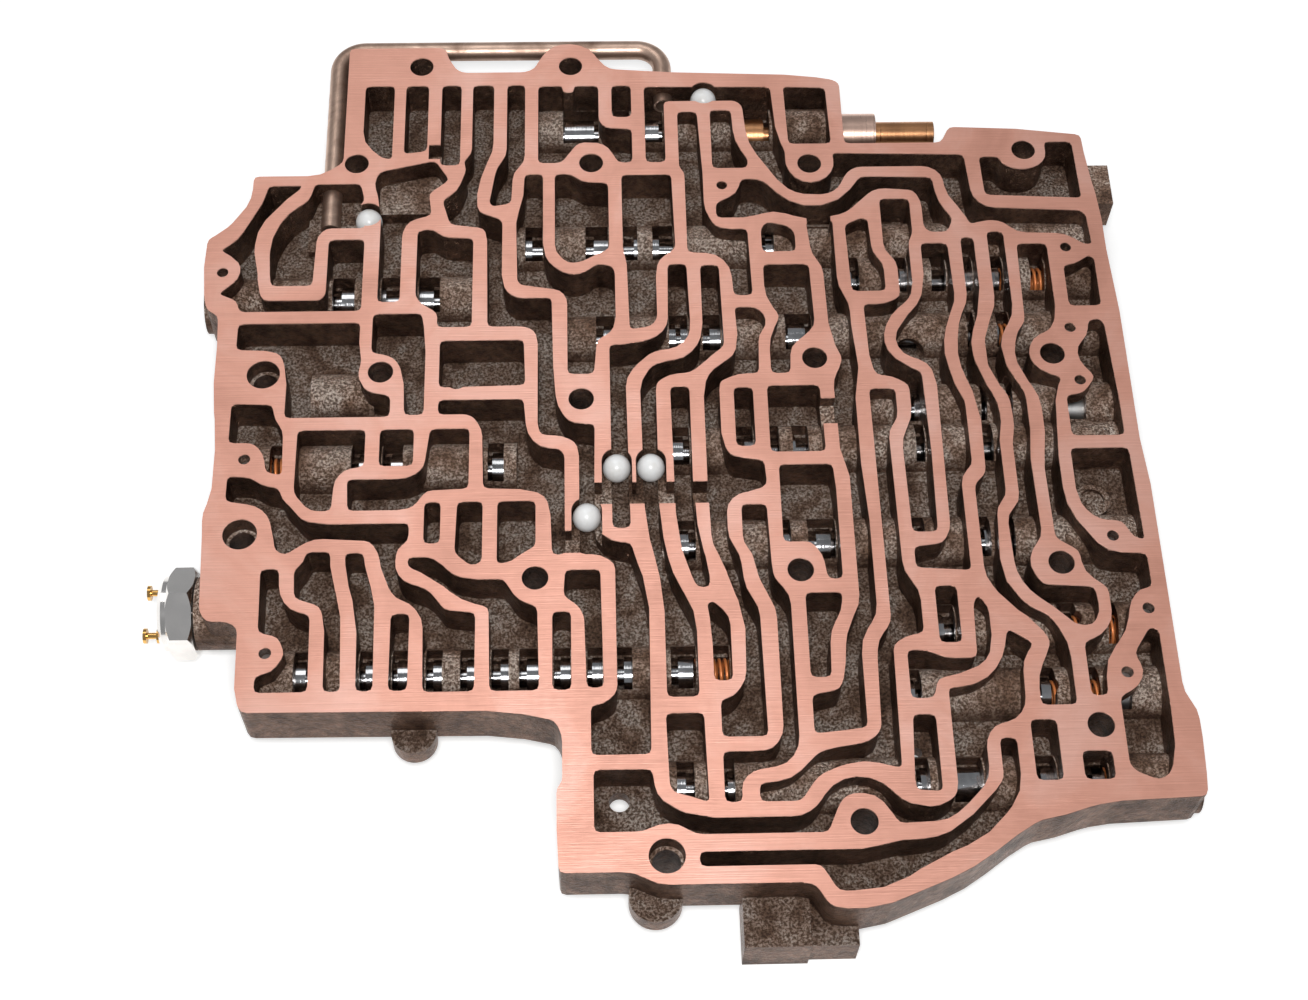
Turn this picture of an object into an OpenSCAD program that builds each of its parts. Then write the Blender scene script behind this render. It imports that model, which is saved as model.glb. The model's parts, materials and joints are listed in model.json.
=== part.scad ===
// Automatic transmission valve body, channel side up.
// Millimetres. X runs right, Y runs away from the viewer, Z is up.
// The origin lies on the machined gasket face, at the middle of the casting.

/* [Casting] */
// Depth of the oil channels below the gasket face
channel_depth = 12; // [9:0.5:12.5]
// Thickness of the casting's skin under the channels
floor_t = 5; // [3:0.5:7]
// Height of the casting from its feet to the gasket face
casting_h = 26; // [25:0.5:36]
// Rounding of the sharp corners of channels and pockets
corner_r = 1.6; // [0.8:0.1:2.4]
// Length over which a gentle bend of a channel wall is rounded
bend_run = 5; // [2:0.5:8]
// Radius of the round feet under the bolt holes
foot_r = 6.4; // [5.5:0.1:8]

/* [Valve bores] */
// Depth of the bore axes below the gasket face
axis_depth = 14; // [13.5:0.25:15]
// Radius of the valve bores
bore_r = 5.2; // [4.4:0.1:5.4]
// Wall of the barrels round the bores
barrel_wall = 2.8; // [2:0.1:3.4]
// Radial clearance between a valve land and its bore
land_gap = 0.04; // [0.02:0.01:0.08]
// Radius of a valve's stem between its lands
stem_r = 2.6; // [1.8:0.1:3.2]
// Room left round the bore where a port opens it
port_room = 1; // [0.4:0.2:1.6]

/* [Throttle plunger] */
// Radius of the plunger's rod
rod_r = 3.9; // [3:0.1:4.3]
// How far the sleeve's flange stands out round the bore
flange_step = 1.4; // [0.8:0.1:2]

/* [Plugs and pins] */
// Radial clearance between a bore plug and its bore
plug_gap = 0.06; // [0.02:0.01:0.15]
// Length of a bore plug
plug_l = 8.5; // [7:0.5:10]
// Radius of the retaining pins
pin_r = 1.6; // [1.2:0.1:2]
// Radial clearance round a retaining pin
pin_gap = 0.05; // [0.02:0.01:0.2]
// How far the pins lie below the gasket face
pin_sink = 4; // [2:0.5:6]

/* [Springs] */
// Wire radius of the valve springs
wire_r = 0.45; // [0.3:0.05:0.7]
// Clearance between a spring's outside and the bore
spring_gap = 0.7; // [0.5:0.1:1.2]
// Length of the valve springs
spring_l = 14; // [11:0.5:16]
// Length of the throttle valve's spring
throttle_spring_l = 11; // [9:0.5:11.5]
// Length of the relay valve's short spring
relay_spring_l = 10.4; // [9:0.2:11]
// Turns of a valve spring
spring_turns = 6; // [4:1:7]

/* [Check balls] */
// Radius of the check balls
ball_r = 3.97; // [3.2:0.01:4.2]
// Radial clearance round a check ball in its pocket
ball_gap = 0.25; // [0.1:0.05:0.5]
// How far the top of a check ball lies below the gasket face
ball_sink = 0.2; // [0:0.1:1]

/* [Bolt holes] */
// Radius of the bolt holes
bolt_r = 3.6; // [3:0.1:4]
// Radius of the large stepped holes
dowel_r = 4.7; // [4.2:0.1:5.2]
// Depth of the wide part of a stepped hole
dowel_depth = 6; // [3:0.5:9]
// Step in the radius of a stepped hole
dowel_step = 1; // [0.5:0.1:1.5]

/* [Oil tube] */
// Outside radius of the oil tube
tube_r = 2.9; // [2.2:0.1:3.1]
// Wall of the oil tube
tube_wall = 0.7; // [0.4:0.1:1.2]
// Depth of the tube's axis below the gasket face
tube_depth = 6; // [5:0.5:8]
// Bend radius of the oil tube
tube_bend = 8; // [6:0.5:10]

/* [Pressure switch] */
// Width across flats of the switch's hexagon
switch_af = 22; // [18:0.5:23]
// Length of the switch's hexagon
switch_l = 7; // [5:0.5:12]
// Radius of the threaded neck of the switch
switch_neck_r = 5; // [4:0.25:6]

/* [Hidden] */
$fn = 48;
datum_x = 4;
bend_step = 24;
corner_step = 46;
skin_z = -channel_depth - floor_t;
axis_z = -axis_depth;
land_r = bore_r - land_gap;
plug_r = bore_r - plug_gap;
barrel_r = bore_r + barrel_wall;
barrel_end = 2.4;
spring_r = bore_r - spring_gap - wire_r;
seat_gap = 0.3;
pin_end_z = axis_z - bore_r - 1;
cut = 1;
ring_r = 5;
ring_rim = 1.5;
ring_dish = 1.2;
ring_top_z = -channel_depth + 2.6;
bowl_r = 4.9;
bowl_depth = 3;
ball_z = -ball_sink - ball_r;
ball_seat = 0.1;
tube_gap = 0.15;
tube_x0 = -103;
tube_x1 = -2.5;
tube_y0 = 74;
tube_y1 = 143.2;
tube_y2 = 120.5;
neck_gap = 0.1;
neck_room = 1;
switch_z = -13.5;
switch_y = -49;
switch_x = -133.5;
neck_end_x = -122;
switch_boss_r = switch_neck_r + 5;
switch_hex_x = switch_x - seat_gap;
hex_land = 0.2;
hex_bevel = 1.1;
switch_cap_x = switch_hex_x - switch_l - 0.02;
switch_cap_r = switch_af / 2 - 0.6;
cap_rim = 1.4;
cap_l = 2.6;
stud_pitch = 13;
stud_r = 0.9;
stud_head_r = 2.1;
stud_head_l = 0.9;
stud_l = 4.6;
throttle_end = 5;
plunger_x = 22;
plunger_land = 6.6;
sleeve_x = 44;
flange_l = 10.6;
rod_end = 82;

// Straight line between two points
function between(a, b, s) = a * (1 - s) + b * s;
// Turn of a path at b, in degrees
function turn(a, b, c) =
    let (u = b - a, v = c - b, k = (u * v) / (norm(u) * norm(v))) acos(max(-1, min(1, k)));
// Points that round the corner at b
function corner(a, b, c) =
    let (
        bend = turn(a, b, c),
        run = min(bend > 50 ? corner_r : bend_run, 0.48 * norm(a - b), 0.48 * norm(c - b)),
        p = b + (a - b) / norm(a - b) * run,
        q = b + (c - b) / norm(c - b) * run,
        n = ceil(bend / (bend > 50 ? corner_step : bend_step))
    )
    bend < 5 ? [b]
    : [for (k = [0:n]) between(between(p, b, k / n), between(b, q, k / n), k / n)];
// A closed outline with its corners rounded
function soft(pts) =
    let (n = len(pts))
    [for (i = [0:n - 1]) each corner(pts[(i + n - 1) % n], pts[i], pts[(i + 1) % n])];
// The corners of a rectangle
function rect(x0, x1, y0, y1) = [[x0, y0], [x1, y0], [x1, y1], [x0, y1]];

// Edge of the gasket face
EDGE = [
    [-99.5, 95], [-99.5, 139.5], [-70, 139.5], [-68, 133], [-65, 129.5], [-45, 129.5], [-42, 131],
    [-40.5, 135], [-36.5, 140], [-31, 141], [-25, 139], [-22, 133.5], [-19, 130.5], [0, 129],
    [40, 127.5], [50, 125.5], [52, 124], [52, 100.5], [81.5, 100.5], [84.5, 106.5], [105, 105.5],
    [124.5, 103], [125, 91], [127, 76], [127, 60], [128, 38], [128, -5], [129, -20], [129, -83],
    [132, -88], [132, -101], [131, -112], [106, -113], [100, -114.5], [92, -117], [87.5, -117.5],
    [81, -121.5], [72, -128], [66, -131.5], [51, -137.5], [44.5, -140], [35, -140], [32, -139],
    [29, -134], [26.5, -133], [-11, -133], [-16.5, -129.5], [-35.5, -129.5], [-36, -118],
    [-36, -107], [-34.5, -105], [-34.5, -92], [-36.5, -88], [-49.5, -85], [-118, -84.5],
    [-120, -80], [-120.5, -60], [-123.5, -58], [-129, -58], [-131, -55], [-132, -32],
    [-132.5, -25], [-130.5, -20], [-130.5, 0], [-132.5, 12], [-132.5, 30], [-133, 40],
    [-136.5, 42], [-138.5, 52], [-138, 67], [-134, 69.5], [-129, 75.5], [-126, 82], [-126, 90],
    [-106, 90]
];

// Oil channels and pockets of the top left block
BLOCK = [
    [[-94, 124.5], [-85, 124.5], [-85, 96], [-88, 96.5], [-94, 102.5]],
    [[-81.5, 124.5], [-74.5, 124.5], [-74.5, 99], [-81.5, 98]],
    rect(-70.5, -64.5, 93.5, 124.5),
    [[-50.5, 124.5], [-45, 124.5], [-45, 94.5], [-48.5, 90.5], [-49, 79], [-54.5, 78],
     [-55.5, 79.5], [-53.5, 92.5], [-50.5, 97]],
    [[-41, 124], [-33.5, 124], [-33.5, 121.5], [-30, 121.5], [-30, 124], [-22.5, 124],
     [-22.5, 110], [-20.5, 107.5], [-12.5, 107], [-12.5, 94], [-17, 94], [-18.5, 98], [-21, 101],
     [-25, 102], [-29, 101.5], [-32, 97], [-34, 94], [-41, 94]],
    rect(-18.5, -12.5, 111.5, 124),
    [[1.5, 113.5], [7.5, 113.5], [8.5, 90], [8.5, 76], [11.5, 70], [15, 69], [21, 69], [21.5, 45],
     [16, 45], [15.5, 55], [11.5, 60], [3, 60.5], [3, 90], [1.5, 92]],
    [[11.5, 114], [18, 114], [18.5, 102], [22.5, 94.5], [22, 91.5], [11.5, 91.5]],
    [[34.5, 123], [47.5, 122.5], [48, 100.5], [35, 100.5]],
    [[-45, 90], [-39.5, 90], [-39.5, 62], [-38, 57.5], [-34, 54], [-30.5, 53], [-27, 54],
     [-23.5, 57], [-19.5, 56], [-18.5, 54], [-18.5, 36], [-20, 32.5], [-24, 30], [-25, 18.5],
     [-32.5, 18.5], [-32.5, 44.5], [-34.5, 47.5], [-46, 49.5], [-47, 51], [-47.5, 74.5],
     [-45.5, 79.5]],
    [[-36, 90], [-31, 90], [-28, 87], [-20, 86.5], [-20, 62], [-25, 59.5], [-28, 57.5], [-32, 57],
     [-36, 61]],
    [[-16, 89.5], [-1, 89.5], [-0.5, 62], [-5.5, 58], [-6.5, 54], [-6.5, 37], [-8.5, 34.5],
     [-14.5, 33.5], [-15, 58], [-16, 61]]
];

// Oil channels and pockets of the left side
LEFT = [
    [[-121.5, 86.5], [-111.5, 86.5], [-112, 85], [-119, 78], [-124, 69.5], [-124, 60],
     [-122.5, 56], [-122.5, 50], [-120.5, 45], [-104, 45], [-102.5, 47], [-102.5, 66.5],
     [-92, 66.5], [-92, 41], [-127, 41], [-128, 45], [-133.5, 47.5], [-128, 53], [-127.5, 57],
     [-129.5, 60], [-134, 63], [-129, 67], [-122, 82]],
    [[-107.5, 87], [-94, 87], [-92.5, 80.5], [-94.5, 78], [-94.5, 75.5], [-92, 75], [-92, 70.5],
     [-103.5, 70.5], [-106, 67.5], [-106.5, 50], [-118.5, 50], [-119.5, 57.5], [-119.5, 67.5],
     [-115, 76.5], [-109, 81], [-108, 85]],
    [[-90, 87], [-88.5, 91.5], [-72, 95.5], [-67.5, 88], [-73.5, 83], [-72.5, 75], [-79, 73],
     [-81, 69], [-81, 44], [-87.5, 44], [-87.5, 78]],
    [[-76.5, 69.5], [-72, 70], [-69, 67], [-60, 66.5], [-60, 35], [-70, 35], [-70, 40],
     [-75, 43.5], [-76.5, 46]],
    [[-127, 37], [-92, 37], [-92, 28], [-91, 24], [-92, 19.5], [-91, 16], [-89, 13.5],
     [-82.5, 12], [-82.5, 5], [-112, 5], [-112, 19.5], [-114, 26], [-117, 27.5], [-127, 28]],
    [[-88.5, 40], [-74.5, 40], [-73, 31], [-73, 5.5], [-78.5, 5.5], [-79, 18.5], [-81, 23.5],
     [-83.5, 25.5], [-88.5, 26.5]],
    [[-69, 30.5], [-45, 30.5], [-44.5, 15], [-69, 14.5]],
    [[-69, 10.5], [-45, 10.5], [-44, -1], [-40.5, -5.5], [-35, -6], [-33.5, -8], [-33.5, -39.5],
     [-37, -39.5], [-37.5, -25], [-39, -21], [-43.5, -19], [-56, -18.5], [-56.5, 0.5], [-59, 4.5],
     [-61, 5.5], [-69, 5.5]],
    [[-127, 10], [-115.5, 9.5], [-114.5, 4.5], [-112, 1], [-111.5, -13.5], [-116, -12.5],
     [-117, -6.5], [-120, -3], [-127, -3]],
    [[-126.5, -13.5], [-120, -14], [-117, -16.5], [-112, -17.5], [-111, -21], [-107.5, -24.5],
     [-105.5, -27.5], [-100.5, -29], [-76, -29], [-76, -34.5], [-79, -37], [-79.5, -43],
     [-77, -47], [-71, -49], [-68, -52], [-66, -55.5], [-57.5, -56.5], [-57.5, -79.5],
     [-71, -79.5], [-71.5, -58], [-75, -53.5], [-79, -52], [-82.5, -46], [-84, -38],
     [-86.5, -34.5], [-101.5, -33.5], [-106, -36], [-109, -38.5], [-112, -37], [-113, -31],
     [-114.5, -26], [-118, -23], [-126.5, -21.5]],
    [[-108, 1], [-89, 1], [-89, -11], [-94.5, -12], [-97, -15.5], [-97.5, -25], [-103, -25],
     [-106, -22], [-108, -19]],
    rect(-85, -75.5, -11, 1),
    [[-71, 1], [-60, 1], [-60, -18.5], [-71.5, -19], [-75, -24], [-78, -25], [-93, -25],
     [-93.5, -15], [-77, -15], [-72.5, -12]],
    rect(-72, -67.5, -35.5, -22.5),
    [[-63, -22.5], [-56, -22.5], [-56, -41.5], [-59, -42.5], [-63.5, -38.5]],
    [[-52, -22.5], [-41.5, -22.5], [-41.5, -37], [-45, -38.5], [-48, -41.5], [-52, -42]],
    [[-76, -39.5], [-70.5, -39.5], [-67.5, -41], [-64, -45], [-59.5, -46.5], [-50, -46.5],
     [-48.5, -49.5], [-46, -53], [-41, -55], [-40.5, -79.5], [-53.5, -79.5], [-54, -55],
     [-59.5, -53.5], [-63, -51.5], [-69, -46], [-76, -42.5]],
    [[-115.5, -42.5], [-110.5, -42.5], [-110, -50.5], [-107, -55], [-101.5, -56.5], [-101, -79],
     [-115, -79], [-115, -74], [-110.5, -73], [-107.5, -68], [-109.5, -63], [-115, -61.5]],
    [[-103.5, -37.5], [-97, -37.5], [-96.5, -46], [-93.5, -53.5], [-92.5, -79], [-97, -79],
     [-97.5, -59], [-99, -54], [-106, -51.5], [-106.5, -43], [-104, -40.5]],
    [[-93, -38], [-88, -38], [-87, -45], [-84.5, -51], [-84, -79], [-88.5, -79], [-89, -57],
     [-92.5, -45]],
    rect(-80, -75, -79, -56.5),
    rect(-37, -32, -79.5, -56.5),
    [[-33.5, -44], [-24, -44], [-23.5, -79], [-28, -79], [-28.5, -58], [-30, -55], [-34, -52]],
    [[-7.5, -86.5], [2.5, -86.5], [3, -111.5], [-1, -110], [-6, -108.5], [-7, -106.5]]
];

// Oil channels that run from the upper edge to the lower edge
LONG = [
    [[-61, 124.5], [-54.5, 124.5], [-54.5, 98.5], [-57.5, 92], [-59.5, 80.5], [-58.5, 76],
     [-52.5, 73.5], [-51.5, 72], [-51.5, 51], [-50, 47], [-47, 45], [-37, 45], [-36.5, 17],
     [-35.5, 8], [-32.5, 3], [-29, 2], [-25, 2], [-25.5, -31], [-21, -35.5], [-15.5, -36],
     [-14.5, -40.5], [-11, -51], [-11.5, -98], [-27, -98], [-27, -84], [-23.5, -83.5],
     [-20, -80.5], [-20, -42.5], [-24, -39.5], [-29.5, -39.5], [-29.5, -7], [-30.5, -4], [-34, -2],
     [-40, -1.5], [-41, 1], [-41, 30.5], [-42, 33.5], [-45, 35], [-55.5, 35], [-56, 67],
     [-57, 70], [-67, 71.5], [-69.5, 80.5], [-65, 84], [-62.5, 92], [-63.5, 95], [-61, 98]],
    [[-3, 56.5], [2.5, 56.5], [3, 35], [2.5, 31], [-1, 27], [-7.5, 26], [-11, 23.5], [-15, 18.5],
     [-16, 15.5], [-15.5, -31.5], [-20.5, -31.5], [-20.5, 28.5], [-14, 28.5], [-6.5, 31],
     [-3.5, 35]],
    [[6.5, 56], [12, 56], [12.5, 27.5], [9, 24.5], [5.5, 21], [2.5, 18.5], [-3.5, 18], [-7, 15.5],
     [-7.5, 13.5], [-7.5, -30], [-5.5, -41], [-3.5, -48.5], [0, -54], [1.5, -60], [1.5, -82],
     [-7, -82], [-7, -52], [-9, -41.5], [-11.5, -30], [-12, 14.5], [-10.5, 18], [-8.5, 21],
     [-5.5, 22.5], [1, 23.5], [5, 28], [6.5, 33]],
    [[-3.5, 14], [2, 14], [2, -16], [3, -35], [5.5, -43.5], [5.5, -50], [2, -50], [-0.5, -43.5],
     [-3, -32]],
    [[16, 41], [22, 41], [24.5, 38.5], [25, 34.5], [22.5, 31], [22, 18], [16, 18], [11, 15.5],
     [10.5, 13.5], [10.5, -4], [12.5, -8.5], [15, -9.5], [22, -10.5], [22.5, -18.5], [19, -20.5],
     [14.5, -21], [11, -24.5], [11, -35], [14, -40], [15, -50.5], [18.5, -56], [19, -93.5],
     [7, -93.5], [7, -83], [10.5, -82], [14, -77.5], [14.5, -58], [11, -49.5], [9.5, -42.5],
     [6.5, -37], [6, -17], [6, 13], [7.5, 18], [11, 21.5], [15, 24], [16.5, 29]],
    [[15, -24.5], [22, -24.5], [22.5, -44.5], [23, -47.5], [27, -52.5], [27, -96.5],
     [23.5, -101.5], [14.5, -103], [11.5, -106], [11.5, -111.5], [7, -111.5], [7, -97.5],
     [16.5, -97.5], [20, -97], [23, -93], [23, -56.5], [20, -51], [18, -44.5], [17.5, -40],
     [15, -36.5]],
    [[53, 12.5], [60.5, 12.5], [60.5, 2.5], [57.5, -1.5], [58, -46], [62, -51.5], [62, -64.5],
     [57, -65.5], [53.5, -68], [53, -103], [49, -102], [45.5, -101], [41, -101], [34.5, -103],
     [31, -105], [26.5, -111.5], [16, -111.5], [16, -106.5], [24.5, -105.5], [29.5, -100.5],
     [32, -98], [36, -97], [45, -95.5], [48.5, -92.5], [49, -72], [49.5, -66.5], [53, -62],
     [53.5, -60]],
    [[38.5, 71.5], [46.5, 72], [46.5, 48], [49.5, 42], [49.5, 31], [50.5, 24], [50.5, 17],
     [49, 12], [49, -12], [50, -30], [50, -59], [46, -64.5], [45, -68.5], [45, -91.5], [36.5, -92.5],
     [31, -93], [31, -82], [38.5, -80.5], [40.5, -75], [40.5, -70], [42, -61.5], [45.5, -56],
     [45.5, -14], [43.5, -9.5], [43, 15.5], [45.5, 20.5], [46, 23], [43, 31], [42.5, 55],
     [39.5, 59.5]],
    [[85, -64], [91, -68], [87.5, -73], [87, -86], [84, -90], [78, -91.5], [75.5, -95.5],
     [75.5, -106], [71.5, -111], [65, -116.5], [62, -117.5], [51, -118], [49, -114], [45.5, -110],
     [40, -109.5], [37, -111], [34.5, -116], [33, -120], [-1, -120], [-5, -117], [-10, -117],
     [-14, -119], [-26.5, -119], [-26.5, -102], [-11.5, -102], [-10.5, -109], [-7, -112.5],
     [0.5, -115.5], [26.5, -115.5], [30.5, -113], [34.5, -107], [41, -104.5], [48, -106.5],
     [52, -111.5], [57, -113.5], [62, -113.5], [66, -111], [67, -108.5], [67, -80.5], [71.5, -80.5],
     [78, -78], [82.5, -72], [84, -65]],
    [[79, -95], [83.5, -95], [83.5, -110], [76.5, -118.5], [71, -123], [59.5, -127.5],
     [49.5, -134], [42, -135.5], [34.5, -135.5], [30.5, -128.5], [0, -128.5], [0, -124.5],
     [44, -124.5], [49, -122.5], [60.5, -122], [67.5, -118.5], [77.5, -108.5], [79, -106]]
];

// Oil channels and pockets of the right side
RIGHT = [
    [[-8.5, 123.5], [30.5, 123], [31.5, 104], [34, 97.5], [33.5, 93], [36, 87.5], [41, 85.5],
     [46, 87.5], [48.5, 92], [48, 97], [88, 96], [89, 80], [93, 76], [121, 74.5], [122.5, 73],
     [123, 62], [120.5, 62], [115.5, 66], [101, 66.5], [97, 71], [91, 71], [87.5, 69.5],
     [85.5, 75], [81.5, 80.5], [80.5, 88.5], [77, 91.5], [55, 91.5], [52, 89.5], [49, 83.5],
     [46, 81.5], [41, 81], [36, 82], [32, 85], [22.5, 101], [21.5, 115.5], [19.5, 117.5],
     [-2.5, 117.5], [-2.5, 94], [-8.5, 94]],
    [[92.5, 95], [98.5, 95], [99.5, 92.5], [102.5, 90.5], [106.5, 90], [110.5, 91.5], [113, 94.5],
     [113, 100.5], [121.5, 100.5], [122, 79], [93, 80.5]],
    [[20, 87.5], [26, 87.5], [32, 80.5], [36, 78], [41, 77], [46.5, 78], [51, 81], [56, 88],
     [77.5, 87.5], [78.5, 78.5], [82.5, 72], [80.5, 67], [75, 67], [73.5, 69], [73.5, 78.5],
     [71.5, 82.5], [60, 83.5], [55, 78.5], [51, 74.5], [46.5, 73], [38.5, 72], [31, 75], [27, 75],
     [22.5, 73], [12, 73], [12, 78.5], [18.5, 82]],
    [[25, 60.5], [25, 69], [27, 71.5], [33, 70], [35, 67.5], [35, 60.5]],
    [[25, 56], [38.5, 56], [39, 34], [35.5, 30.5], [31.5, 27], [31, 18], [25.5, 18], [25.5, 30],
     [29, 37.5], [25, 44.5]],
    rect(14.5, 20, -6, 13.5),
    [[24, 14], [39, 14], [39.5, -8], [24, -8]],
    [[26, -12], [41, -12], [41.5, -20], [41.5, -48], [37.5, -48], [36.5, -40.5], [33.5, -36.5],
     [26, -36.5]],
    [[31, -52], [41, -52], [40.5, -57.5], [37, -63.5], [36.5, -77], [31, -77]],
    [[4.5, -55], [6, -54], [9.5, -57.5], [10.5, -60], [10.5, -77.5], [5.5, -77.5], [5.5, -63]],
    [[61, 79.5], [70, 79.5], [70, 66.5], [68.5, 63.5], [68.5, 47], [67, 43], [61, 37.5], [58.5, 31],
     [59, 25.5], [63.5, 20.5], [68.5, 18], [69, -8.5], [68.5, -34], [61.5, -34], [61, -4],
     [64.5, 2.5], [64.5, 13.5], [60, 16.5], [55.5, 17], [54, 21.5], [53.5, 41.5], [60, 41.5],
     [64.5, 44], [64.5, 56.5], [61, 60.5]],
    [[50, 70], [55, 72.5], [57, 72], [57.5, 60], [60.5, 56], [60.5, 46], [50.5, 46]],
    [[72, 63], [80, 63], [80.5, 42], [77.5, 36], [75.5, 26.5], [76, 21.5], [78, 12], [80, 8.5],
     [80, -13], [77.5, -15.5], [76.5, -18], [76.5, -46], [61.5, -45], [61.5, -38.5], [69.5, -37.5],
     [72, -33.5], [72.5, 16], [70.5, 21], [63.5, 24], [61.5, 29], [64, 35.5], [69.5, 41], [72, 48]],
    [[84, 65], [88, 65], [88, 42], [84, 30], [83.5, 25.5], [85, 17], [89.5, 7.5], [89.5, -0.5],
     [88.5, -3.5], [88.5, -23], [85.5, -26.5], [84.5, -46], [87, -52.5], [91.5, -57.5], [96, -59.5],
     [100.5, -67.5], [100.5, -86], [91, -86], [91, -77.5], [94.5, -70.5], [95.5, -67.5],
     [92.5, -62], [85, -56], [81, -49.5], [80, -46.5], [80, -19], [83.5, -16], [84, 6.5],
     [80.5, 17], [79.5, 21.5], [79.5, 26.5], [81, 36], [83, 40], [84, 43]],
    [[92, 67], [97, 67], [97, 37], [92.5, 30], [92, 23], [94.5, 16], [97.5, 11], [97.5, -4],
     [96.5, -9], [97, -36], [93.5, -40], [92.5, -45], [95.5, -50.5], [109.5, -51.5], [110, -59],
     [107.5, -63], [103, -63], [99.5, -59], [91.5, -52.5], [88.5, -46.5], [88, -29], [92, -25],
     [92, -5], [93, -2], [93, 5.5], [92.5, 9.5], [88.5, 16], [87, 24], [88.5, 33], [92, 40]],
    [[100.5, 62.5], [109.5, 62.5], [109.5, 38], [108, 33.5], [106.5, 31.5], [101.5, 29],
     [99.5, 23], [102.5, 18], [108.5, 15.5], [106, 10.5], [104.5, -10.5], [104.5, -25.5],
     [109.5, -35], [114.5, -41], [125, -41.5], [125, -52], [121.5, -52.5], [118.5, -56],
     [116.5, -65], [109.5, -73], [109, -83.5], [104.5, -83.5], [104.5, -68], [109.5, -66],
     [113, -61.5], [113, -52], [107, -47], [106.5, -40.5], [100.5, -36.5], [100, -11.5],
     [101.5, -5.5], [101.5, 9.5], [97, 17], [95.5, 24], [97.5, 31.5], [100, 34.5]],
    [[113.5, 54.5], [117, 55], [121.5, 58], [123, 57], [123, 40], [113.5, 40]],
    [[118.5, 35], [122, 35.5], [123, 33.5], [124, 7.5], [124, -4], [109, -4], [109, 9.5],
     [114, 10], [118, 15.5], [114, 21], [114, 26], [117.5, 29.5]],
    [[108, -8], [124.5, -8], [125, -37.5], [122, -36.5], [119.5, -31.5], [113.5, -31],
     [110, -28], [108, -23.5]],
    [[122.5, -64], [125, -64.5], [125, -87], [124.5, -100.5], [122, -106], [119, -107.5],
     [113.5, -105], [112, -103], [112, -84], [117.5, -81], [119.5, -76.5], [117.5, -71.5]],
    rect(66, 72, -67.5, -50.5),
    [[57, -69.5], [62.5, -69.5], [67, -72], [75.5, -72], [76, -56], [77.5, -53.5], [80, -57],
     [80, -68], [78, -73], [73, -76], [64.5, -78], [63, -83.5], [57, -83.5]],
    [[57, -88], [63, -88], [63, -109.5], [56.5, -109], [56, -107]],
    rect(87.5, 94.5, -107, -90),
    rect(100, 108, -107, -99)
];

// Valve rows: axis y, closed end x, open end x, plug x, ports, lands of the valve
ROWS = [
    [115, -42.5, 52.6, 52.9, [[-33.5, -22.6], [-18, -13], [-8.2, -2.8], [22, 30.2]],
     [[-42, -39], [-33, -24], [-12, -4], [1, 5]]],
    [52.6, -59, -138.9, -132.8, [[-101.5, -95], [-87.2, -81.3], [-76.2, -70]],
     [[-114, -104], [-99, -94.5], [-90, -86], [-80, -72], [-64, -60]]],
    [70.5, -48.6, 127.8, 121, [[-45, -39.8], [-27, -20.3], [-15.7, -11.5], [-7, -0.9], [25.3, 29.3]],
     [[-48, -43], [-36, -28], [-24.5, -18], [-12.5, -5], [4, 22], [27, 40], [58, 70], [86, 127]]],
    [58, 49.4, 127.8, 115, [[51, 54], [65, 68.3], [75.5, 79.8], [84.3, 87.8], [92.3, 96.8], [105, 109.2]],
     [[50, 52], [56, 63], [66.5, 75], [81, 127]]],
    [38, -33, 128.7, 112.9, [[-24.2, -18.8], [-3, 2.5], [6.8, 12.1], [31, 38.7], [84.3, 86.5], [93, 96.7]],
     [[-32, -26], [-22, -17], [-12, -1], [0.5, 5], [9, 20], [32, 37], [46, 60], [70, 83], [88, 127]]],
    [13, 52.6, 128.7, 113.6, [[65, 68.7], [85.8, 87.5], [93.3, 95], [110, 116]],
     [[53.5, 62], [67, 74], [79, 84], [88, 127]]],
    [-5, -49.5, -131.2, -122.2, [[-116.3, -112], [-93.5, -89.3], [-84.7, -79], [-55.2, -50.7]],
     [[-127, -98], [-91.5, -87], [-82.5, -74], [-66, -58], [-54, -50.5]]],
    [-0.5, -4.6, 128.7, 122, [[-3.2, 1.7], [14.8, 19.8], [24.3, 27.2], [31, 35.5], [66, 68.6], [85, 88]],
     [[-4, 0], [4, 13], [17.5, 23], [28, 32], [37, 52], [60, 66.5], [72, 83], [90, 127]]],
    [-31, -4.4, 129.6, 116.4, [[-2.6, 2.4], [26.3, 28.8], [33.5, 41.2], [62, 66], [81, 84.2], [89, 91]],
     [[-3.5, 0.5], [4, 24], [27, 31], [36, 40], [44, 60], [64.5, 79], [83, 88], [92, 127]]],
    [-69.5, 11.5, -121, -112.7,
     [[-106, -101.5], [-88.5, -84.3], [-79.8, -75.2], [-70.8, -66.5], [-61.7, -57.8], [-53.4, -48.8],
      [-46, -40.8], [-36.7, -32.3], [-27.8, -23.8], [-19.8, -15.8], [-5.5, 1.2], [5.8, 10.2]],
     [[-107.5, -103], [-98, -91], [-87, -82], [-78.5, -73], [-69, -64], [-60, -56], [-51, -47],
      [-44, -39], [-35, -30], [-26.5, -22], [-18, -10], [-3.5, 11]]],
    [-103, -7, 132.6, 126,
     [[-4.9, -0.3], [7.3, 10.2], [57.3, 61], [67.3, 75], [87.8, 94.2], [100.3, 107.7]],
     [[-6, -2.5], [1, 6], [8.5, 20], [30, 55], [59, 63], [66, 85], [90.5, 98], [104, 127]]],
    [-58.3, 64.9, 129.6, 123.1, [[66.3, 71.7], [100, 105], [113.3, 116]],
     [[66, 69], [73, 82], [88, 97], [101, 127]]],
    [-77.6, 56, 129.6, 114.9, [[57.3, 61], [92, 97], [104.8, 108.7], [113, 117]],
     [[57, 59.5], [63, 70], [76, 90], [93.5, 127]]]
];
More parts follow.
